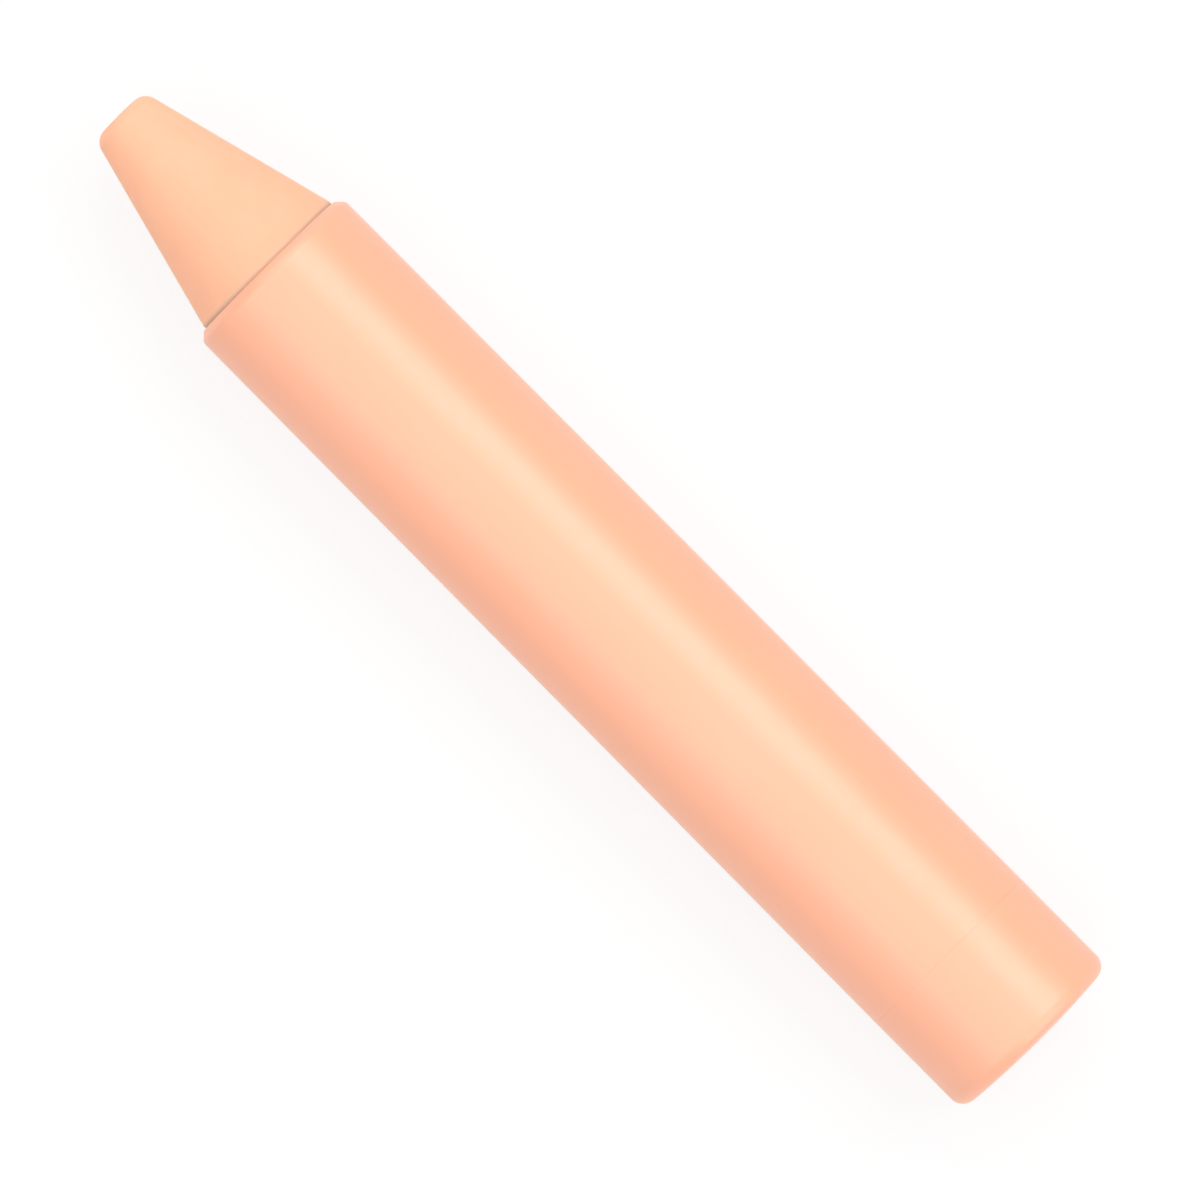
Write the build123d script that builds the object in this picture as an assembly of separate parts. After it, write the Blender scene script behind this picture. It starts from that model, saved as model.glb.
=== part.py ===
from build123d import *
import math
import os

# Twist crayon: a wax stick in a plastic barrel, fed out and drawn back by turning the base.
# Every piece is modelled upright on the Z axis, rear end at height 0 and tip at the top,
# and the finished set is laid on its side with the tip towards +X.
# All sizes are in millimetres. "Reach" is along the axis, "radius" and "dia" across it.

# Outside
crayon_length = 102.0        # rear end to tip, stick at its rest position
nose_length = 16.63          # wax cone that shows past the barrel's mouth
stick_dia = 14.0             # wax stick, and the base of its cone
tip_dia = 5.3                # flat at the tip, before its edge is rounded
tip_edge_radius = 1.25
mouth_wall = 0.73            # barrel wall at the mouth
mouth_land = 0.13            # flat left at the mouth inside the 45 degree bevel
barrel_taper = 0.15          # radius that the barrel gains from its mouth to the base
base_length = 10.0           # twist base that shows behind the barrel
base_crown = 0.4             # dome of the rear end, before its edge is rounded
base_edge_radius = 1.25

# Fits
stick_clearance = 0.12       # radial, stick and carrier in the barrel
neck_clearance = 0.08        # radial, base neck in the barrel
bead_clearance = 0.08        # snap bead in its groove
key_clearance = 0.15         # barrel ribs in the flutes of the stick and carrier
thread_clearance = 0.2       # nut thread round the screw thread
core_clearance = 0.3         # radial, screw inside the stick
ring_clearance = 0.02        # friction ring under the barrel's bore

# Twist base
base_floor = 1.6
neck_length = 8.0            # part of the base inside the barrel
neck_lead_in = 0.35          # bevel at the neck's front edge
finger_wall = 1.0            # snap fingers
finger_slot_width = 1.4
finger_slot_count = 4
bead_height = 0.3
bead_top = 0.5               # flat along the top of the snap bead
bead_rear_slope = 0.5        # run per rise behind the bead, steep so that it holds
bead_front_slope = 1.5       # run per rise ahead of it, easy so that it snaps in
bead_setback = 2.0           # bead's middle to the neck's front edge
ring_zone = 3.6              # stretch of neck behind the fingers, with the friction ring at its rear
ring_groove_width = 1.0
ring_groove_depth = 0.65
ring_wall = 1.0              # wall left inside the friction ring's groove
hub_wall = 1.2
hub_setback = 0.5            # socket for the screw's root ends this far behind the barrel
hub_web_count = 4
hub_web_thickness = 1.0
hub_web_setback = 2.0        # stiffening webs end this far behind the socket's edge

# Friction ring, cut square
ring_side_gap = 0.05

# Lead screw: left-handed, so that turning the base clockwise feeds the wax out
screw_lead = 12.0            # advance per turn
screw_dia = 5.0
thread_depth = 0.7
thread_width = 1.4           # ridge, across the screw's section
screw_flange = 1.0           # collar that seats on the hub
root_gap = 0.3               # root's end to the base's floor

# Carrier
carrier_web = 1.5            # floor of the cup
nut_length = 6.0             # thread, floor of the cup included
nut_wall = 1.2
petal_length = 7.0           # cup wall, in petals between the barrel's ribs
petal_wall = 0.8

# Barrel
barrel_lead_in = 0.2         # bevel at the rear, which slides over the friction ring
rib_count = 4                # ribs that keep the carrier and the stick from turning
rib_width = 1.4
rib_height = 0.7
rib_end_bevel = 0.4
rib_rear_gap = 0.3           # ribs to the base's neck
rib_front_gap = 0.2          # ribs to the flutes' ends, stick drawn back
flute_setback = 0.6          # flutes' ends to the cone

# Travel
tip_recess = 1.37            # tip to the mouth, stick drawn back
extend_travel = 24.0         # stick's feed from its rest position
carrier_rear_gap = 0.5       # carrier to the base's neck, stick drawn back
screw_tip_bevel = 0.8
screw_end_gap = 0.5          # screw's end to the end of the wax core, stick drawn back
thread_spare = 0.5           # thread past the nut at both ends of the travel

# Worked-out sizes
stick_r = stick_dia / 2
bore_r = stick_r + stick_clearance
mouth_r = bore_r + mouth_wall
body_r = mouth_r + barrel_taper
neck_r = bore_r - neck_clearance
finger_r = neck_r - finger_wall
ring_seat_r = neck_r - ring_groove_depth
base_bore_r = ring_seat_r - ring_wall
crest_r = screw_dia / 2
root_r = crest_r - thread_depth
hub_r = root_r / math.cos(math.pi / 6) + hub_wall
core_r = crest_r + core_clearance
nut_r = crest_r + thread_clearance + nut_wall
rib_inner_r = bore_r - rib_height
flute_r = rib_inner_r - key_clearance
flute_width = rib_width + 2 * key_clearance
tail_r = stick_r - petal_wall

mouth_reach = crayon_length - nose_length
neck_reach = base_length + neck_length
ring_front = base_length + ring_groove_width
bead_reach = neck_reach - bead_setback
finger_reach = base_length + ring_zone
floor_reach = base_crown + base_floor
hub_reach = base_length - hub_setback

retract_travel = nose_length + tip_recess
web_rear = neck_reach + carrier_rear_gap + retract_travel
butt_reach = web_rear + carrier_web
nut_rear = butt_reach - nut_length
petal_reach = butt_reach + petal_length

thread_start = nut_rear - retract_travel - thread_spare
thread_end = butt_reach + extend_travel + thread_spare
screw_end = thread_end + screw_tip_bevel
core_end = screw_end + screw_end_gap + retract_travel

flute_end = mouth_reach - flute_setback
rib_rear = neck_reach + rib_rear_gap
rib_front = flute_end - flute_width / 2 - retract_travel - rib_front_gap

UP = (Align.CENTER, Align.CENTER, Align.MIN)


def turned(outline):
    """Turn an outline of (radius, reach, corner radius) points about the axis."""
    points = [(r, reach) for r, reach, corner in outline]
    corners = [corner for r, reach, corner in outline]
    edge = FilletPolyline(*points, radius=corners, close=True)
    return revolve(Plane.XZ * make_face(edge), Axis.Z)


def sharp(*points):
    """Outline points with no rounding."""
    return [(r, reach, 0) for r, reach in points]


def rod(radius, start, end):
    return Pos(0, 0, start) * Cylinder(radius, end - start, align=UP)


def hexagon(start, end):
    """Six-sided root of the screw, or its socket, as wide across the flats as the screw's core."""
    return Pos(0, 0, start) * extrude(RegularPolygon(root_r, 6, major_radius=False), end - start)


def around(count, shape):
    return [spot * shape for spot in PolarLocations(0, count)]


def bead(seat_r, grow):
    """Outline points of the snap bead, or of its groove, standing on a seat of that radius."""
    top = bead_height + neck_r + grow - seat_r
    half = bead_top / 2 + grow
    return [
        (seat_r, bead_reach - half - bead_rear_slope * top),
        (seat_r + top, bead_reach - half),
        (seat_r + top, bead_reach + half),
        (seat_r, bead_reach + half + bead_front_slope * top),
    ]


def thread(grow, start, end):
    """Twisted bar of the screw's ridge, or of the nut's groove, larger all round by grow."""
    bar = Rectangle(crest_r + thread_depth, thread_width + 2 * grow, align=(Align.MIN, Align.CENTER))
    reach = end - start
    set_at = Pos(0, 0, start) * Rot(0, 0, -360 * start / screw_lead)
    twisted = Solid.extrude_linear_with_rotation(
        bar.face(), center=(0, 0, 0), normal=(0, 0, reach), angle=-360 * reach / screw_lead
    )
    return set_at * twisted


def flutes(width, floor_r, start, end):
    """Cutters for the slots that run on the barrel's ribs, round at their front ends."""
    depth = 2 * (body_r - floor_r)
    reach = end - start + width
    slot = SlotOverall(reach, width, rotation=90)
    face = Plane(origin=(floor_r, 0, end - reach / 2), x_dir=(0, 1, 0), z_dir=(1, 0, 0))
    return around(rib_count, extrude(face * slot, depth))


def make_barrel():
    bevel = mouth_wall - mouth_land
    # A curve with its ends as poles: a straight side, which turns into a single row of facets
    side = Bezier((body_r, base_length), (mouth_r, mouth_reach - bevel))
    rest = Polyline(
        (mouth_r, mouth_reach - bevel),
        (mouth_r - bevel, mouth_reach),
        (bore_r, mouth_reach),
        *bead(bore_r, bead_clearance)[::-1],
        (bore_r, base_length + barrel_lead_in),
        (bore_r + barrel_lead_in, base_length),
        (body_r, base_length),
    )
    shell = revolve(Plane.XZ * make_face([side, rest]), Axis.Z)
    foot = mouth_wall / 2
    rib = Pos(rib_inner_r, 0, rib_rear) * Box(
        rib_height + foot, rib_width, rib_front - rib_rear, align=(Align.MIN, Align.CENTER, Align.MIN)
    )
    ends = rib.edges().filter_by(Axis.Y).group_by(Axis.X)[0]
    return shell + around(rib_count, chamfer(ends, rib_end_bevel))


def make_twist_base():
    # Rear end: a shallow dome, whose edge is an arc tangent to the dome and to the side
    crown_r = (body_r**2 + base_crown**2) / (2 * base_crown)
    heel_r = body_r - base_edge_radius
    heel_reach = crown_r - math.sqrt((crown_r - base_edge_radius) ** 2 - heel_r**2)
    spread = crown_r / (crown_r - base_edge_radius)
    rim_r = heel_r * spread
    rim_reach = crown_r - (crown_r - heel_reach) * spread
    heel = RadiusArc((rim_r, rim_reach), (body_r, heel_reach), -base_edge_radius)
    wall = Polyline(
        (body_r, heel_reach),
        (body_r, base_length),
        (ring_seat_r, base_length),
        (ring_seat_r, ring_front),
        (neck_r, ring_front),
        *bead(neck_r, 0),
        (neck_r, neck_reach - neck_lead_in),
        (neck_r - neck_lead_in, neck_reach),
        (finger_r, neck_reach),
        (finger_r, finger_reach),
        (base_bore_r, finger_reach),
        (base_bore_r, floor_reach),
        (0, floor_reach),
        (0, rim_reach),
        (rim_r, rim_reach),
    )
    cup = revolve(Plane.XZ * make_face([heel, wall]), Axis.Z)
    # The sphere's poles lie off the axis, where they would crowd the dome's facets
    dome = rod(body_r, 0, rim_reach) & Pos(0, 0, crown_r) * Rot(90, 0, 0) * Sphere(crown_r)

    hub = rod(hub_r, floor_reach, hub_reach)
    web_length = hub_reach - hub_web_setback - floor_reach
    web = Pos(0, 0, floor_reach) * Box(
        base_bore_r + ring_wall, hub_web_thickness, web_length, align=(Align.MIN, Align.CENTER, Align.MIN)
    )
    socket = hexagon(floor_reach, hub_reach)
    gap = Pos(0, 0, finger_reach) * Box(
        2 * body_r, finger_slot_width, neck_length, align=(Align.MIN, Align.CENTER, Align.MIN)
    )
    return cup + hub + around(hub_web_count, web) - socket - around(finger_slot_count, gap) + dome


def make_lead_screw():
    root = hexagon(floor_reach + root_gap, hub_reach)
    collar = rod(hub_r, hub_reach, hub_reach + screw_flange)
    core = rod(root_r, hub_reach + screw_flange, thread_end)
    point = Pos(0, 0, thread_end) * Cone(root_r, root_r - thread_depth, screw_tip_bevel, align=UP)
    skin = turned(
        sharp(
            (0, thread_start),
            (root_r, thread_start),
            (crest_r, thread_start + thread_depth),
            (crest_r, thread_end - thread_depth),
            (root_r, thread_end),
            (0, thread_end),
        )
    )
    ridge = thread(0, thread_start, thread_end) & skin
    return root + collar + core + point + ridge


def make_friction_ring():
    rear = base_length + ring_side_gap
    front = ring_front - ring_side_gap
    return rod(bore_r - ring_clearance, rear, front) - rod(ring_seat_r, rear, front)


def make_carrier():
    cup = turned(
        sharp(
            (nut_r, nut_rear),
            (nut_r, web_rear),
            (stick_r, web_rear),
            (stick_r, petal_reach),
            (tail_r, petal_reach),
            (tail_r, butt_reach),
            (0, butt_reach),
            (0, nut_rear),
        )
    )
    keyways = flutes(flute_width, flute_r, nut_rear - flute_width, petal_reach + 2 * flute_width)
    parting = Pos(0, 0, butt_reach) * Box(
        2 * body_r, flute_width, 2 * petal_length, align=(Align.MIN, Align.CENTER, Align.MIN)
    )
    ridge = thread(thread_clearance, nut_rear - nut_wall, butt_reach + nut_wall)
    nut = ridge & rod(crest_r + thread_clearance, nut_rear - nut_wall, butt_reach + nut_wall)
    hole = rod(root_r + thread_clearance, nut_rear, butt_reach)
    return cup - keyways - around(rib_count, parting) - hole - nut


def make_crayon_stick():
    stick = turned(
        sharp(
            (core_r, butt_reach),
            (tail_r, butt_reach),
            (tail_r, petal_reach),
            (stick_r, petal_reach),
            (stick_r, mouth_reach),
        )
        + [(tip_dia / 2, crayon_length, tip_edge_radius)]
        + sharp((0, crayon_length), (0, core_end), (core_r, core_end))
    )
    return stick - flutes(flute_width, flute_r, butt_reach - flute_width, flute_end)


pieces = {
    "barrel": make_barrel(),
    "twist_base": make_twist_base(),
    "lead_screw": make_lead_screw(),
    "friction_ring": make_friction_ring(),
    "carrier": make_carrier(),
    "crayon_stick": make_crayon_stick(),
}

# Lying on its side: axis along X at the height of the base's radius, middle of the length at X 0
lying = Pos(-crayon_length / 2, 0, body_r) * Rot(0, 90, 0)

os.makedirs("parts", exist_ok=True)
for name, shape in pieces.items():
    export_step(lying * shape, f"parts/{name}.step")
    print(f"{name}: {shape.volume:.1f} mm3, {len(shape.solids())} solid")

print(f"outside diameter {2 * body_r:.2f}, mouth {2 * mouth_r:.2f}, bore {2 * bore_r:.2f}")
print(f"drawn back {retract_travel:.2f} in {retract_travel / screw_lead:.3f} turns")
print(f"fed out {extend_travel:.2f} in {extend_travel / screw_lead:.3f} turns")
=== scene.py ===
# %% [markdown]
# # A twist crayon
#
# The object is a thick round crayon that twists up. Outside there is little to see: a peach
# plastic barrel, a matte wax nose, and a fine dark line where the two meet. That is why each
# surface has to be right, because nothing else draws the eye. Inside, a base turns a screw that
# feeds the wax, and those pieces have to be there too when the crayon is taken apart.
#
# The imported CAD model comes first. It is the frame: it says where everything is and what moves.

# %% Load the frame
import math

import bmesh
import bpy
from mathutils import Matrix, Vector


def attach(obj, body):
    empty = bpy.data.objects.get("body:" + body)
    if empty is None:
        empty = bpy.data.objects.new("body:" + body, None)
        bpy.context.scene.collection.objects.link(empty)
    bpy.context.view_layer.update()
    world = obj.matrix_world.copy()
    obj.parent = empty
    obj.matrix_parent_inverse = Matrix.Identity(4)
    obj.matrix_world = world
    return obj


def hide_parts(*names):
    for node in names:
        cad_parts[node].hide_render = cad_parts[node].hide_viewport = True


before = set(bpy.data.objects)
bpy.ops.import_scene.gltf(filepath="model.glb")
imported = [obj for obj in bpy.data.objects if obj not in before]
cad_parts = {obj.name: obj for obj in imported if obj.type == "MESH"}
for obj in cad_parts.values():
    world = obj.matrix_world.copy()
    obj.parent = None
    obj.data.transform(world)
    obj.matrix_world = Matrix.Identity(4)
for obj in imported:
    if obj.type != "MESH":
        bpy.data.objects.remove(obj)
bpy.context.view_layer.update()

# %% [markdown]
# The crayon lies on its side with the tip towards +X. A turned piece is easiest to think of in
# two numbers: its radius, and its reach along the axis from the rear end. One small helper turns
# such a pair, in millimetres, into a point of the frame, in metres.

# %% Where things are
MM = 0.001
CRAYON_LENGTH = 102.0
BODY_R = 8.0
AXIS_Z = BODY_R * MM


def spot(radius, reach, turn=0.0):
    """Point at a radius and reach in mm; a turn of 0 is straight up, a quarter turn is +Y."""
    return Vector((
        (reach - CRAYON_LENGTH / 2) * MM,
        radius * math.sin(turn) * MM,
        radius * math.cos(turn) * MM + AXIS_Z,
    ))


def radius_of(point):
    """How far a point of the frame lies from the crayon's axis, in mm."""
    return math.hypot(point.y, point.z - AXIS_Z) / MM


def reach_of(point):
    """How far along the axis a point lies from the rear end, in mm."""
    return point.x / MM + CRAYON_LENGTH / 2


print("tip at", tuple(round(v, 4) for v in spot(0, CRAYON_LENGTH)))

# %% [markdown]
# Barrel, base and stick are all turned pieces, so one way of working serves for the three. By
# hand one would draw half of the section as a chain of points and spin it round the axis, and
# that is what happens here: a plane is merged to a single point, the point is extruded from
# corner to corner, and Spin turns the chain into a skin. Spin leaves a double seam where it
# closes and may face inwards, so doubles are merged and the normals are recalculated.

# %% Draw a section and spin it
MERGE_WITHIN = 0.001         # mm, how close two points must lie to be merged


def start_alone():
    """Leave edit mode and deselect everything, so that an operator meets only the new piece."""
    if bpy.context.object and bpy.context.object.mode != "OBJECT":
        bpy.ops.object.mode_set(mode="OBJECT")
    bpy.ops.object.select_all(action="DESELECT")


def draw_section(name, corners, closed, turn=0.0):
    """Half section of a turned piece as a chain of points."""
    start_alone()
    bpy.ops.mesh.primitive_plane_add(size=MM)
    piece = bpy.context.object
    piece.name = piece.data.name = name
    bpy.ops.object.mode_set(mode="EDIT")
    bpy.ops.mesh.select_mode(type="VERT")
    bpy.ops.mesh.merge(type="CENTER")
    bpy.ops.transform.translate(value=spot(*corners[0], turn))
    for here, there in zip(corners, corners[1:]):
        step = spot(*there, turn) - spot(*here, turn)
        bpy.ops.mesh.extrude_vertices_move(TRANSFORM_OT_translate={"value": step})
    if closed:
        chain = bmesh.from_edit_mesh(piece.data)
        for vert in chain.verts:
            vert.select_set(len(vert.link_edges) == 1)
        chain.select_flush_mode()
        bpy.ops.mesh.edge_face_add()
    return piece


def spin_section(piece, steps):
    """Spin the section once round the crayon's axis and close it."""
    bpy.ops.mesh.select_all(action="SELECT")
    bpy.ops.mesh.spin(steps=steps, angle=math.tau, center=(0, 0, AXIS_Z), axis=(1, 0, 0))
    bpy.ops.mesh.select_all(action="SELECT")
    bpy.ops.mesh.remove_doubles(threshold=MERGE_WITHIN * MM)
    bpy.ops.mesh.normals_make_consistent(inside=False)
    faces = bmesh.from_edit_mesh(piece.data).faces
    print(f"{piece.name}: section spun in {steps} steps, {len(faces)} faces")


# %% [markdown]
# A moulding has no knife edges. After the spin, the ring of edges at one corner of the section is
# picked by its radius and reach, and the Bevel tool rounds it. Smooth shading alone would let those
# narrow bevels tip the light on the long faces beside them, and the crayon would look bent, so the
# Weighted Normal modifier gives the large faces the say.

# %% Round a ring of edges
NEAR = 0.004                 # mm, how close an edge must lie to count as part of a ring


def select_edges(piece, wanted):
    """Select the edges whose two ends both meet the wanted test of (radius, reach)."""
    bpy.ops.mesh.select_mode(type="EDGE")
    bpy.ops.mesh.select_all(action="DESELECT")
    shape = bmesh.from_edit_mesh(piece.data)
    count = 0
    for edge in shape.edges:
        if all(wanted(radius_of(v.co), reach_of(v.co)) for v in edge.verts):
            edge.select_set(True)
            count += 1
    bmesh.update_edit_mesh(piece.data)
    return count


def round_ring(piece, radius, reach, width, segments):
    """Bevel the ring of edges that runs round the axis at that radius and reach."""
    count = select_edges(piece, lambda r, x: abs(r - radius) < NEAR and abs(x - reach) < NEAR)
    bpy.ops.mesh.bevel(offset=width * MM, offset_type="OFFSET", segments=segments, affect="EDGES")
    print(f"{piece.name}: ring at r {radius:.2f}, reach {reach:.2f}, {count} edges rounded by {width}")


def smooth(piece, crease=30):
    """Smooth shading except across true corners, led by the large faces."""
    bpy.ops.object.shade_smooth_by_angle(angle=math.radians(crease))
    lead = piece.modifiers.new("large_faces_lead", "WEIGHTED_NORMAL")
    lead.mode, lead.weight, lead.keep_sharp = "FACE_AREA", 100, True
    bpy.ops.object.modifier_apply(modifier=lead.name)
    print(f"{piece.name}: {len(piece.data.vertices)} points, {len(piece.data.polygons)} faces")


# %% [markdown]
# ## The barrel
#
# The barrel is a plain tube that widens by a hair from its mouth to the base. Its mouth is bevelled
# almost to an edge, with a soft outer corner. Inside it has a groove that the base snaps into. A
# cylinder with a taper would give the outside, but drawing the whole section gives the wall, the
# bore and the groove in one go.

# %% Spin the barrel
BORE_R = 7.12
MOUTH_R = 7.85
MOUTH_REACH = 85.37
BEVEL_RUN = 0.62             # length of the mouth's bevel along the barrel
MOUTH_LAND = 0.05            # flat left between the bevel and the bore
MOUTH_ROUND, LAND_ROUND = 0.28, 0.02
SEAM_REACH = 10.0
SEAM_BREAK = 0.006           # mm taken off the edges at the seam
LEAD_IN = 0.2                # bevel that guides the base's neck into the bore
SNAP_REACH = 16.0            # middle of the snap groove, and of the base's bead that sits in it
SNAP_REAR_SLOPE, SNAP_FRONT_SLOPE = 0.15, 0.45
SNAP_GROOVE_R = 7.42
SNAP_GROOVE_HALF = 0.33      # from the middle of the groove's floor to its end
RIB_REAR, RIB_FRONT = 18.3, 65.72
BARREL_STEPS = 192

groove_rear, groove_front = SNAP_REACH - SNAP_GROOVE_HALF, SNAP_REACH + SNAP_GROOVE_HALF
barrel_section = [
    (BODY_R, SEAM_REACH),
    (MOUTH_R, MOUTH_REACH - BEVEL_RUN),
    (BORE_R + MOUTH_LAND, MOUTH_REACH),
    (BORE_R, MOUTH_REACH),
    (BORE_R, RIB_FRONT),
    (BORE_R, RIB_REAR),
    (BORE_R, groove_front + SNAP_FRONT_SLOPE),
    (SNAP_GROOVE_R, groove_front),
    (SNAP_GROOVE_R, groove_rear),
    (BORE_R, groove_rear - SNAP_REAR_SLOPE),
    (BORE_R, SEAM_REACH + LEAD_IN),
    (BORE_R + LEAD_IN, SEAM_REACH),
]
barrel = draw_section("barrel_tube", barrel_section, closed=True)
spin_section(barrel, BARREL_STEPS)
round_ring(barrel, MOUTH_R, MOUTH_REACH - BEVEL_RUN, MOUTH_ROUND, segments=6)
round_ring(barrel, BORE_R + MOUTH_LAND, MOUTH_REACH, LAND_ROUND, segments=2)
round_ring(barrel, BODY_R, SEAM_REACH, SEAM_BREAK, segments=2)

# %% [markdown]
# Four ribs run along the bore and keep the carrier from turning with the screw. The spin has 192
# steps, so three steps to each side of a quarter line are just the width of a rib. Those faces are
# picked, extruded towards the axis, flattened on top, and bevelled at both ends so that the
# carrier's keyways find them.

# %% Raise the ribs
RIB_HEIGHT = 0.7
RIB_STEPS = 3                # spin steps from a rib's middle to its side
RIB_END_BEVEL = 0.4
half_rib = RIB_STEPS * math.tau / BARREL_STEPS
for quarter in range(4):
    out = spot(1, 0, quarter * math.pi / 2) - spot(0, 0)
    out.normalize()
    bpy.ops.mesh.select_mode(type="FACE")
    bpy.ops.mesh.select_all(action="DESELECT")
    shape = bmesh.from_edit_mesh(barrel.data)
    for face in shape.faces:
        middle = face.calc_center_median()
        across = middle - spot(0, reach_of(middle))
        on_bore = abs(radius_of(middle) - BORE_R) < NEAR
        if on_bore and RIB_REAR < reach_of(middle) < RIB_FRONT and across.angle(out) < half_rib:
            face.select_set(True)
    bpy.ops.mesh.extrude_region_move(TRANSFORM_OT_translate={"value": out * -RIB_HEIGHT * MM})
    flat = [0 if abs(part) > 0.5 else 1 for part in out]
    top = spot(0, 0) + out * (BORE_R - RIB_HEIGHT) * MM
    bpy.ops.transform.resize(value=flat, center_override=top)

for end in (RIB_REAR, RIB_FRONT):
    count = select_edges(barrel, lambda r, x: r < BORE_R - RIB_HEIGHT / 2 and abs(x - end) < NEAR)
    bpy.ops.mesh.bevel(offset=RIB_END_BEVEL * MM, segments=1, affect="EDGES")
    print("rib ends at reach", end, "bevelled,", count, "edges")
bpy.ops.object.mode_set(mode="OBJECT")
smooth(barrel)
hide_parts("barrel")
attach(barrel, "barrel")

# %% [markdown]
# ## The twist base
#
# The base is the same plastic and carries the barrel's line on to a faintly domed end with a
# round edge. At rest its seam with the barrel is as good as invisible, so the edges there are
# broken by a hair only. Its neck goes inside the barrel, with a groove for the friction ring and a
# bead that snaps home, and a hub in its middle holds the screw.

# %% Spin the base
CROWN_R = 80.2               # radius of the dome at the rear end
DOME_STEPS = 5               # straight steps that the dome is drawn in
HEEL_WIDTH = 1.131           # gives the heel a radius of 1.25 on the dome's slope
HAIRLINE = 0.004             # mm between the base and the barrel that it turns against
RING_SEAT_R, RING_SEAT_LENGTH = 6.39, 1.0
NECK_R, NECK_REACH = 7.04, 18.0
NECK_BEVEL = 0.35
BEAD_R = NECK_R + 0.3
BEAD_HALF = 0.25             # from the middle of the bead's top to its end
BEAD_ROUND = 0.08
FINGER_R = 6.04              # inside of the snap fingers at the neck's end
FINGER_REACH = 13.6          # root of those fingers
BASE_BORE_R = 5.39
FLOOR_REACH = 2.0            # inner face of the end wall
HUB_R = 3.278                # hub that holds the screw's root
HUB_REACH = 9.5


def dome(radius):
    """Point of the domed rear face at that radius."""
    return radius, CROWN_R - math.sqrt(CROWN_R**2 - radius**2)


seam_side = SEAM_REACH - HAIRLINE
seat_end = SEAM_REACH + RING_SEAT_LENGTH
bead_rear, bead_front = SNAP_REACH - BEAD_HALF, SNAP_REACH + BEAD_HALF
base_section = [
    *[dome(BODY_R * step / DOME_STEPS) for step in range(DOME_STEPS + 1)],
    (BODY_R, seam_side),
    (RING_SEAT_R, seam_side),
    (RING_SEAT_R, seat_end),
    (NECK_R, seat_end),
    (NECK_R, bead_rear - SNAP_REAR_SLOPE),
    (BEAD_R, bead_rear),
    (BEAD_R, bead_front),
    (NECK_R, bead_front + SNAP_FRONT_SLOPE),
    (NECK_R, NECK_REACH - NECK_BEVEL),
    (NECK_R - NECK_BEVEL, NECK_REACH),
    (FINGER_R, NECK_REACH),
    (FINGER_R, FINGER_REACH),
    (BASE_BORE_R, FINGER_REACH),
    (BASE_BORE_R, FLOOR_REACH),
    (HUB_R, FLOOR_REACH),
    (HUB_R, HUB_REACH),
    (0, HUB_REACH),
]
base = draw_section("twist_base_cup", base_section, closed=False)
spin_section(base, BARREL_STEPS)
round_ring(base, *dome(BODY_R), HEEL_WIDTH, segments=10)
round_ring(base, BODY_R, seam_side, SEAM_BREAK, segments=2)
for reach in (bead_rear, bead_front):
    round_ring(base, BEAD_R, reach, BEAD_ROUND, segments=2)
bpy.ops.object.mode_set(mode="OBJECT")

# %% [markdown]
# The rest of the base isn't round, so it is joined on and cut out with Boolean modifiers, as on a
# bench: four webs that stiffen the hub, a socket in it for the screw's six-sided root, and four
# slots that let the neck give as it snaps in. Each tool is one primitive, shaped in edit mode, and
# is thrown away once its modifier is applied.

# %% Tools for joining and cutting
def bar_along(name, sides, radius, start, end):
    """Bar of so many sides, with its axis on the crayon's and one corner straight up."""
    start_alone()
    bpy.ops.mesh.primitive_cylinder_add(vertices=sides, radius=radius * MM, depth=(end - start) * MM)
    bar = bpy.context.object
    bar.name = name
    bpy.ops.object.mode_set(mode="EDIT")
    bpy.ops.transform.rotate(value=math.pi / 2, orient_axis="Z", center_override=(0, 0, 0))
    bpy.ops.transform.rotate(value=math.pi / 2, orient_axis="Y", center_override=(0, 0, 0))
    bpy.ops.transform.translate(value=spot(0, (start + end) / 2))
    bpy.ops.object.mode_set(mode="OBJECT")
    return bar


def block_out(name, width, inner, outer, start, end, count):
    """Blocks that stand out from the axis like spokes, as one mesh."""
    start_alone()
    bpy.ops.mesh.primitive_cube_add(size=1)
    block = bpy.context.object
    block.name = name
    bpy.ops.object.mode_set(mode="EDIT")
    bpy.ops.transform.resize(value=((end - start) * MM, width * MM, (outer - inner) * MM))
    bpy.ops.transform.translate(value=spot((inner + outer) / 2, (start + end) / 2))
    for copy in range(count - 1):
        bpy.ops.mesh.duplicate()
        bpy.ops.transform.rotate(
            value=math.tau / count, orient_axis="X", center_override=spot(0, start)
        )
    bpy.ops.object.mode_set(mode="OBJECT")
    return block


def work_with(piece, tool, operation):
    """Join or cut a piece with a tool, then put the tool away."""
    start_alone()
    bpy.context.view_layer.objects.active = piece
    piece.select_set(True)
    step = piece.modifiers.new(tool.name, "BOOLEAN")
    step.operation, step.solver, step.object = operation, "EXACT", tool
    bpy.ops.object.modifier_apply(modifier=step.name)
    print(f"{piece.name}: {operation.lower()} {tool.name}, {len(piece.data.polygons)} faces")
    bpy.data.objects.remove(tool)


# %% Webs, socket and slots
WEB_WIDTH, WEB_REACH = 1.0, 7.5
SLOT_WIDTH = 1.4
SOCKET_SIDES = 6
SOCKET_FLAT = 1.8            # mm from the axis to a flat of the socket
SUNK = 0.4                   # mm that a tool goes past a face it joins or cuts

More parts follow.
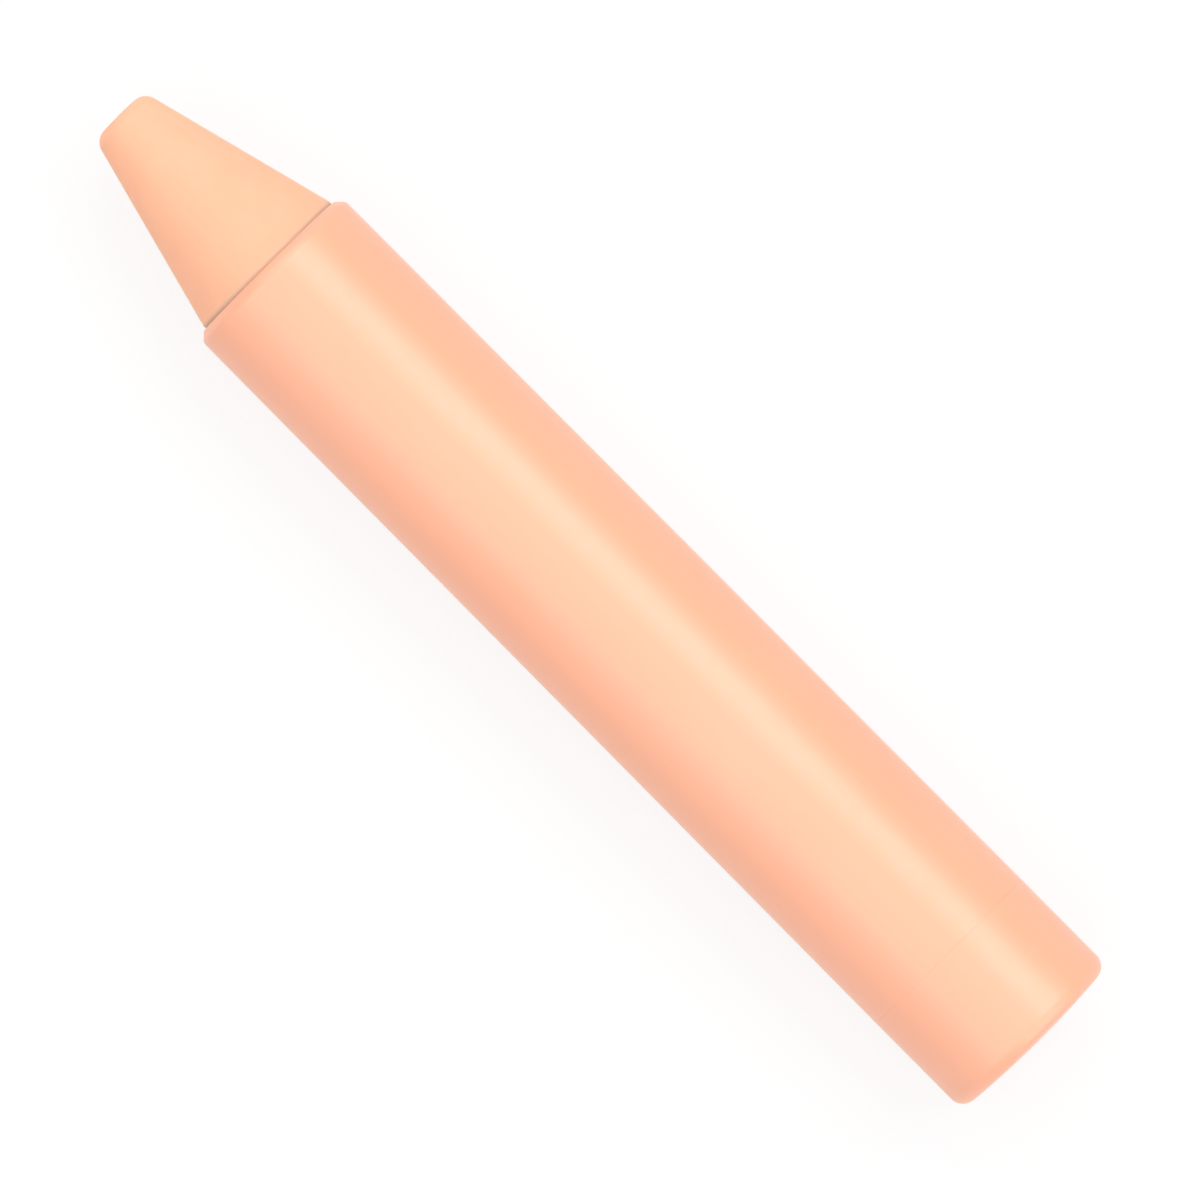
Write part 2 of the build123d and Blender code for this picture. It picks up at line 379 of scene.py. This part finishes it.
webs = block_out(
    "webs", WEB_WIDTH, HUB_R - SUNK, BASE_BORE_R + SUNK, FLOOR_REACH - SUNK, WEB_REACH, count=4
)
work_with(base, webs, "UNION")
socket_r = SOCKET_FLAT / math.cos(math.pi / SOCKET_SIDES)
socket = bar_along("socket", SOCKET_SIDES, socket_r, FLOOR_REACH, HUB_REACH + SUNK)
work_with(base, socket, "DIFFERENCE")
slots = block_out(
    "slots", SLOT_WIDTH, BASE_BORE_R - SUNK, BODY_R, FINGER_REACH, NECK_REACH + SUNK, count=4
)
work_with(base, slots, "DIFFERENCE")
smooth(base)
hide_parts("twist_base")
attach(base, "twist_base")

# %% [markdown]
# ## The wax stick
#
# The cone is the moulded nose of the stick that fills the barrel. It is blunt, with a well rounded
# tip. At its foot runs a fine groove that lies half under the barrel's mouth. The shade in that groove,
# with dust and painted shade in the wax's colour there, draws the dark line of the shoulder. Behind the
# nose, four flutes run on the barrel's ribs.
# The section is spun from half a step beside the top, so that the flutes sit between its lines.

# %% Spin the stick
STICK_R = 7.0
TAIL_R = 6.2
CORE_R = 2.8
TIP_R = 2.65
BUTT_REACH = 38.0            # rear end of the wax
TAIL_REACH = 45.0            # front of the thin tail that the carrier holds
CORE_END = 81.8              # blind end of the core that the screw runs up
CONE_SLOPE = (STICK_R - TIP_R) / (CRAYON_LENGTH - MOUTH_REACH)
TIP_WIDTH = 0.961            # gives the tip's edge a radius of 1.25
GROOVE_R = 6.90
GROOVE_REAR, GROOVE_FRONT = MOUTH_REACH - 0.3, MOUTH_REACH + 0.25
GROOVE_FLOOR = (MOUTH_REACH - 0.1, MOUTH_REACH + 0.08)
LIP_ROUND = 0.05             # rounding of the groove's front edge
STICK_STEPS = 180

lip_r = STICK_R - CONE_SLOPE * (GROOVE_FRONT - MOUTH_REACH)
stick_section = [
    (0, CORE_END),
    (CORE_R, CORE_END),
    (CORE_R, BUTT_REACH),
    (TAIL_R, BUTT_REACH),
    (TAIL_R, TAIL_REACH),
    (STICK_R, TAIL_REACH),
    (STICK_R, GROOVE_REAR),
    *[(GROOVE_R, reach) for reach in GROOVE_FLOOR],
    (lip_r, GROOVE_FRONT),
    (TIP_R, CRAYON_LENGTH),
    (0, CRAYON_LENGTH),
]
stick = draw_section("wax_stick", stick_section, closed=False, turn=math.pi / STICK_STEPS)
spin_section(stick, STICK_STEPS)
round_ring(stick, TIP_R, CRAYON_LENGTH, TIP_WIDTH, segments=10)
round_ring(stick, lip_r, GROOVE_FRONT, LIP_ROUND, segments=3)
bpy.ops.object.mode_set(mode="OBJECT")

# %% [markdown]
# A flute is a long slot with a round front end. The cutter starts as an upright cylinder as wide
# as the slot. The rear half of it is pulled back along the stick, which leaves the round end, and
# three turned copies make the other flutes.

# %% Cut the flutes
FLUTE_WIDTH = 1.7
FLUTE_R = 6.27
FLUTE_END = MOUTH_REACH - 0.6
FLUTE_SIDES = 48
front_middle = FLUTE_END - FLUTE_WIDTH / 2

start_alone()
bpy.ops.mesh.primitive_cylinder_add(
    vertices=FLUTE_SIDES, radius=FLUTE_WIDTH / 2 * MM, depth=(BODY_R - FLUTE_R) * MM
)
cutter = bpy.context.object
cutter.name = "flutes"
bpy.ops.object.mode_set(mode="EDIT")
bpy.ops.transform.translate(value=spot((BODY_R + FLUTE_R) / 2, front_middle))
bpy.ops.mesh.select_mode(type="VERT")
shape = bmesh.from_edit_mesh(cutter.data)
for vert in shape.verts:
    vert.select_set(reach_of(vert.co) < front_middle - NEAR)
shape.select_flush_mode()
bpy.ops.transform.translate(value=((BUTT_REACH - FLUTE_END) * MM, 0, 0))
bpy.ops.mesh.select_all(action="SELECT")
for copy in range(3):
    bpy.ops.mesh.duplicate()
    bpy.ops.transform.rotate(value=math.pi / 2, orient_axis="X", center_override=spot(0, front_middle))
bpy.ops.object.mode_set(mode="OBJECT")
work_with(stick, cutter, "DIFFERENCE")
smooth(stick)
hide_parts("crayon_stick")
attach(stick, "stick")

# %% [markdown]
# ## Finishes
#
# Every finish is built from nodes on Object coordinates. All pieces sit at the origin, so those
# coordinates are metres in the frame, and a pattern's scale can be read as features per metre:
# a noise of scale 1000 has grains of about a millimetre.

# %% Node helpers
def new_finish(name):
    """Empty node material with a Principled shader; returns the material, its tree and the shader."""
    finish = bpy.data.materials.new(name)
    finish.use_nodes = True
    tree = finish.node_tree
    tree.nodes.clear()
    output = tree.nodes.new("ShaderNodeOutputMaterial")
    shader = tree.nodes.new("ShaderNodeBsdfPrincipled")
    tree.links.new(shader.outputs["BSDF"], output.inputs["Surface"])
    return finish, tree, shader


def grain(tree, scale, detail=2.0, stretch=(1, 1, 1)):
    """Noise in the frame's coordinates; a stretch under 1 draws it out along that axis."""
    where = tree.nodes.new("ShaderNodeTexCoord")
    sized = tree.nodes.new("ShaderNodeMapping")
    sized.inputs["Scale"].default_value = stretch
    noise = tree.nodes.new("ShaderNodeTexNoise")
    noise.inputs["Scale"].default_value = scale
    noise.inputs["Detail"].default_value = detail
    tree.links.new(where.outputs["Object"], sized.inputs["Vector"])
    tree.links.new(sized.outputs["Vector"], noise.inputs["Vector"])
    return noise.outputs["Fac"]


def between(tree, factor, low, high, start=0.3, end=0.7):
    """Number that goes from low to high as the factor goes from start to end."""
    spread = tree.nodes.new("ShaderNodeMapRange")
    for socket, value in zip(("From Min", "From Max", "To Min", "To Max"), (start, end, low, high)):
        spread.inputs[socket].default_value = value
    tree.links.new(factor, spread.inputs["Value"])
    return spread.outputs["Result"]


def tones(tree, factor, colours):
    """Colour from a ramp of (place, colour) stops."""
    ramp = tree.nodes.new("ShaderNodeValToRGB")
    stops = ramp.color_ramp.elements
    while len(stops) < len(colours):
        stops.new(0.5)
    for stop, (place, colour) in zip(stops, colours):
        stop.position, stop.color = place, (*colour, 1)
    tree.links.new(factor, ramp.inputs["Fac"])
    return ramp.outputs["Color"]


def relief(tree, shader, *layers):
    """Bump in layers of (height, depth in mm)."""
    normal = None
    for height, depth in layers:
        bump = tree.nodes.new("ShaderNodeBump")
        bump.inputs["Strength"].default_value = 1.0
        bump.inputs["Distance"].default_value = depth * MM
        tree.links.new(height, bump.inputs["Height"])
        if normal:
            tree.links.new(normal, bump.inputs["Normal"])
        normal = bump.outputs["Normal"]
    tree.links.new(normal, shader.inputs["Normal"])


def set_sockets(shader, **values):
    """Constants on the shader's own sockets, with _ for the spaces in their names."""
    for socket, value in values.items():
        shader.inputs[socket.replace("_", " ")].default_value = value


# %% [markdown]
# The barrel and the base are satin plastic, coloured through. Up close such a moulding has slow
# clouds in its colour, drawn out along the flow, a very fine eggshell grain from the mould, and a
# gloss that is never quite even.

# %% Barrel plastic
PEACH_DEEP, PEACH_PALE = (0.905, 0.387, 0.225), (0.925, 0.407, 0.243)

plastic, tree, shader = new_finish("satin_peach_plastic")
clouds = grain(tree, scale=120, detail=3, stretch=(0.35, 1, 1))
colour = tones(tree, clouds, [(0.30, PEACH_DEEP), (0.70, PEACH_PALE)])
tree.links.new(colour, shader.inputs["Base Color"])
roughness = between(tree, grain(tree, scale=900, detail=4), low=0.32, high=0.39)
tree.links.new(roughness, shader.inputs["Roughness"])
flow = grain(tree, scale=260, detail=1, stretch=(0.3, 1, 1))
eggshell = grain(tree, scale=7000, detail=2)
relief(tree, shader, (flow, 0.004), (eggshell, 0.0012))
set_sockets(shader, Specular_IOR_Level=1.0)
for piece in (barrel, base):
    piece.data.materials.clear()
    piece.data.materials.append(plastic)
print("barrel plastic on", barrel.name, "and", base.name)

# %% [markdown]
# The wax is duller. Light goes a little way into it, so it has some subsurface scattering, and its
# colour is mottled in patches of a few millimetres with finer specks. Its skin keeps faint draw
# lines from the mould, along the nose. A brown ring of dust and painted shade lies in and beside the
# groove at the nose's foot and darkens the line there; a mask on the reach along the axis keeps it to that
# ring.

# %% Mask for the dust and painted shade
def ring_mask(tree, middle, half, fade):
    """1 in a ring round the crayon at that reach, 0 beyond its faded edges; all sizes in mm."""
    where = tree.nodes.new("ShaderNodeTexCoord")
    split = tree.nodes.new("ShaderNodeSeparateXYZ")
    away = tree.nodes.new("ShaderNodeMath")
    away.operation = "SUBTRACT"
    away.inputs[1].default_value = spot(0, middle).x
    apart = tree.nodes.new("ShaderNodeMath")
    apart.operation = "ABSOLUTE"
    tree.links.new(where.outputs["Object"], split.inputs["Vector"])
    tree.links.new(split.outputs["X"], away.inputs[0])
    tree.links.new(away.outputs["Value"], apart.inputs[0])
    return between(tree, apart.outputs["Value"], 1, 0, (half - fade) * MM, (half + fade) * MM)


# %% Wax
WAX_DEEP, WAX_PALE = (0.930, 0.458, 0.284), (0.950, 0.478, 0.302)
# Dust and painted shade: a brown ring at the nose's foot that darkens the groove, where shade falls
# between the stick and the barrel's mouth.
DUST_AND_SHADE = (0.76, 0.455, 0.31, 1)
DUST_AND_SHADE_MIDDLE = MOUTH_REACH + 0.10
DUST_AND_SHADE_HALF = 0.30             # mm from the middle of the dusty ring to its edge
DUST_AND_SHADE_FADE = 0.10             # mm to each side of that edge

wax, tree, shader = new_finish("crayon_wax")
patches = grain(tree, scale=320, detail=5)
colour = tones(tree, patches, [(0.30, WAX_DEEP), (0.70, WAX_PALE)])
# Painted shade with dust: the ring's brown is mixed into the wax colour in and beside the groove.
dust_and_painted_shade = tree.nodes.new("ShaderNodeMix")
dust_and_painted_shade.data_type = "RGBA"
tree.links.new(ring_mask(tree, DUST_AND_SHADE_MIDDLE, DUST_AND_SHADE_HALF, DUST_AND_SHADE_FADE), dust_and_painted_shade.inputs["Factor"])
tree.links.new(colour, dust_and_painted_shade.inputs["A"])
dust_and_painted_shade.inputs["B"].default_value = DUST_AND_SHADE
tree.links.new(dust_and_painted_shade.outputs["Result"], shader.inputs["Base Color"])
roughness = between(tree, grain(tree, scale=1500, detail=4), low=0.58, high=0.72)
tree.links.new(roughness, shader.inputs["Roughness"])
draw_lines = grain(tree, scale=900, detail=3, stretch=(0.15, 1, 1))
specks = grain(tree, scale=5000, detail=3)
relief(tree, shader, (draw_lines, 0.006), (specks, 0.003))
set_sockets(
    shader, Specular_IOR_Level=0.35, Subsurface_Weight=0.15,
    Subsurface_Radius=(1.0, 0.45, 0.25), Subsurface_Scale=0.6 * MM,
)
stick.data.materials.clear()
stick.data.materials.append(wax)
print("wax on", stick.name)

# %% [markdown]
# Three CAD pieces are right as they are and only get a finish: the lead screw in milky acetal, the
# carrier in a greyer plastic, and the friction ring in black rubber with a faint grey bloom.

# %% Screw, carrier and ring
def moulded(name, deep, pale, rough, scale, depth):
    """Plain moulding material: clouded colour, uneven gloss and a fine grain of a depth in mm."""
    finish, tree, shader = new_finish(name)
    colour = tones(tree, grain(tree, scale, detail=4), [(0.30, deep), (0.70, pale)])
    tree.links.new(colour, shader.inputs["Base Color"])
    roughness = between(tree, grain(tree, 4 * scale, detail=3), *rough)
    tree.links.new(roughness, shader.inputs["Roughness"])
    relief(tree, shader, (grain(tree, 12 * scale, detail=2), depth))
    return finish


inner_finishes = {
    "lead_screw": moulded(
        "milky_acetal", deep=(0.80, 0.78, 0.71), pale=(0.88, 0.87, 0.82),
        rough=(0.30, 0.42), scale=300, depth=0.002,
    ),
    "carrier": moulded(
        "grey_moulding", deep=(0.70, 0.69, 0.65), pale=(0.79, 0.78, 0.74),
        rough=(0.45, 0.58), scale=260, depth=0.003,
    ),
    "friction_ring": moulded(
        "black_nitrile", deep=(0.018, 0.018, 0.019), pale=(0.045, 0.044, 0.042),
        rough=(0.62, 0.80), scale=700, depth=0.004,
    ),
}
for node, finish in inner_finishes.items():
    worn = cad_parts[node].data.materials
    worn.clear()
    worn.append(finish)
    print(node, "finished in", finish.name)

# %% [markdown]
# ## Floor, light and camera
#
# The crayon lies on a white floor. To the camera the floor is mostly plain white, with a part of
# its true shading mixed in, so that the crayon still has its soft shadow.

# %% What shows as background
def seen_directly(tree):
    """1 for rays that show the background: from the camera, a gloss or a glass."""
    rays = tree.nodes.new("ShaderNodeLightPath")
    total = rays.outputs["Is Camera Ray"]
    for kind in ("Is Glossy Ray", "Is Transmission Ray"):
        both = tree.nodes.new("ShaderNodeMath")
        both.operation = "MAXIMUM"
        tree.links.new(total, both.inputs[0])
        tree.links.new(rays.outputs[kind], both.inputs[1])
        total = both.outputs["Value"]
    return total


# %% Floor
FLOOR_SIZE = 12              # metres
FLOOR_GREY = (0.86, 0.86, 0.86, 1)
FLOOR_WHITE = 0.80           # share of plain white in what the camera sees of the floor

start_alone()
bpy.ops.mesh.primitive_plane_add(size=FLOOR_SIZE)
floor = bpy.context.object
floor.name = "floor"
paper, tree, shader = new_finish("floor_white")
set_sockets(shader, Base_Color=FLOOR_GREY, Roughness=0.9, Specular_IOR_Level=0.0)
white = tree.nodes.new("ShaderNodeEmission")
white.inputs["Strength"].default_value = 1.0
share = tree.nodes.new("ShaderNodeMath")
share.operation = "MULTIPLY"
share.inputs[1].default_value = FLOOR_WHITE
tree.links.new(seen_directly(tree), share.inputs[0])
mixed = tree.nodes.new("ShaderNodeMixShader")
tree.links.new(share.outputs["Value"], mixed.inputs["Fac"])
tree.links.new(shader.outputs["BSDF"], mixed.inputs[1])
tree.links.new(white.outputs["Emission"], mixed.inputs[2])
tree.links.new(mixed.outputs["Shader"], tree.nodes["Material Output"].inputs["Surface"])
floor.data.materials.append(paper)
print("floor of", FLOOR_SIZE, "m in", paper.name)

# %% [markdown]
# The photograph has a soft light on the crayon's -Y side, which draws the pale band down the barrel,
# and a broad light overhead. A weak, cooler fill lights the far side. Neither end of the crayon goes
# dark in the photograph, so a low light faces each of them, and a white room does the rest.

# %% White room
ROOM_LIGHT = 0.28
world = bpy.data.worlds.new("white_room")
bpy.context.scene.world = world
world.use_nodes = True
room = world.node_tree
room.nodes.clear()
output = room.nodes.new("ShaderNodeOutputWorld")
even = room.nodes.new("ShaderNodeBackground")
even.inputs["Strength"].default_value = ROOM_LIGHT
backdrop = room.nodes.new("ShaderNodeBackground")
backdrop.inputs["Strength"].default_value = 1.0
for shade in (even, backdrop):
    shade.inputs["Color"].default_value = (1, 1, 1, 1)
either = room.nodes.new("ShaderNodeMixShader")
room.links.new(seen_directly(room), either.inputs["Fac"])
room.links.new(even.outputs["Background"], either.inputs[1])
room.links.new(backdrop.outputs["Background"], either.inputs[2])
room.links.new(either.outputs["Shader"], output.inputs["Surface"])
print("room light of strength", ROOM_LIGHT)


# %% Lamps
def soft_light(name, away, distance, size, power, colour=(1.0, 1.0, 1.0)):
    """Soft lamp that stands away from the crayon in that direction and is aimed at its middle."""
    lamp = bpy.data.lights.new(name, "AREA")
    lamp.shape = "RECTANGLE"
    lamp.size, lamp.size_y = size
    lamp.energy, lamp.color = power, colour
    stand = bpy.data.objects.new(name, lamp)
    bpy.context.collection.objects.link(stand)
    away = Vector(away).normalized()
    stand.location = Vector((0, 0, AXIS_Z)) + away * distance
    stand.rotation_euler = away.to_track_quat("Z", "Y").to_euler()
    stand.visible_camera = False
    print(name, "at", [round(v, 3) for v in stand.location])


KEY_TINT, FILL_TINT = (0.98, 1.0, 1.02), (0.88, 0.95, 1.0)
soft_light("key_light", (0.08, -0.587, 0.806), distance=0.7, size=(0.80, 0.46), power=2.9, colour=KEY_TINT)
soft_light("ceiling_light", (0, 0.342, 0.940), distance=0.8, size=(1.2, 1.0), power=4.4)
soft_light("low_fill", (0, 0.914, 0.407), distance=0.6, size=(0.7, 0.5), power=0.45, colour=FILL_TINT)
soft_light("tip_fill", (0.94, -0.22, 0.26), distance=0.6, size=(0.50, 0.60), power=1.5)
soft_light("rear_fill", (-0.91, -0.22, 0.36), distance=0.6, size=(0.50, 0.70), power=1.5)

# %% [markdown]
# The camera looks straight down from far away, as the photograph does: the sides of the barrel
# run almost parallel, and the line of the shoulder is nearly straight. The crayon lies across the
# picture with its tip at the upper left.

# %% Camera
PICTURE_WIDTH = 93.87        # mm across the picture at the height of the axis
PICTURE_MIDDLE = 48.62       # reach at the middle of the picture
CAMERA_DISTANCE = 1.6        # metres above the axis
CAMERA_TURN = 225.212        # degrees about the vertical
SENSOR_WIDTH = 36

lens = bpy.data.cameras.new("camera")
lens.sensor_width = SENSOR_WIDTH
lens.lens = SENSOR_WIDTH * CAMERA_DISTANCE / (PICTURE_WIDTH * MM)
lens.clip_start, lens.clip_end = 0.05, 20
camera = bpy.data.objects.new("camera", lens)
bpy.context.collection.objects.link(camera)
camera.location = spot(0, PICTURE_MIDDLE) + Vector((0, 0, CAMERA_DISTANCE))
camera.rotation_euler = (0, 0, math.radians(CAMERA_TURN))
bpy.context.scene.camera = camera
bpy.context.scene.view_settings.view_transform = "Standard"
print("lens", round(lens.lens, 1), "mm")
